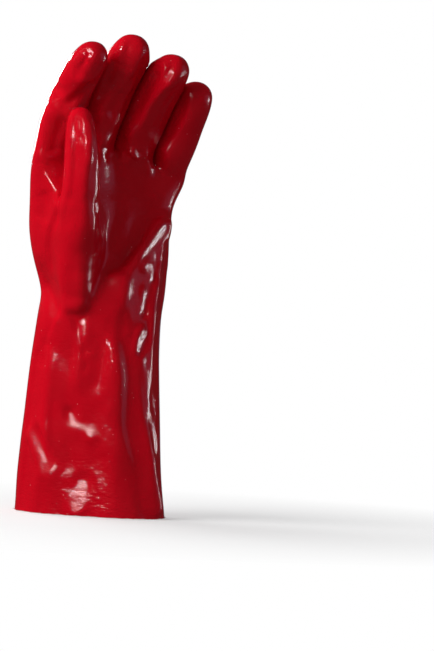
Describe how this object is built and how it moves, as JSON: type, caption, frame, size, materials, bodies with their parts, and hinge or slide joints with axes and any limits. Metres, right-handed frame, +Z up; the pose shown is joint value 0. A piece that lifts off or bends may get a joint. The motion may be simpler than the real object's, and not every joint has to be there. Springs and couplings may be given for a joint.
{
  "type": "work glove",
  "caption": "Long left-hand work glove dipped in red PVC: open flared cuff, folded wrist, palm side forward, curled fingers and a thumb standing in front of them.",
  "frame": {"origin": "middle of the underside of the glove's bounding box, on the floor it stands on", "axes": "+Z up from the cut edge of the cuff to the fingertips; -Y is the side the palm and thumb face; +X runs from the thumb side to the little finger"},
  "size_m": [0.125, 0.1012, 0.3366],
  "materials": {
    "pvc_coat": "wet-looking gloss PVC dipped on a knitted liner; the inner face is the bare knit"
  },
  "bodies": {
    "root": {"glove": "pvc_coat"}
  },
  "joints": []
}
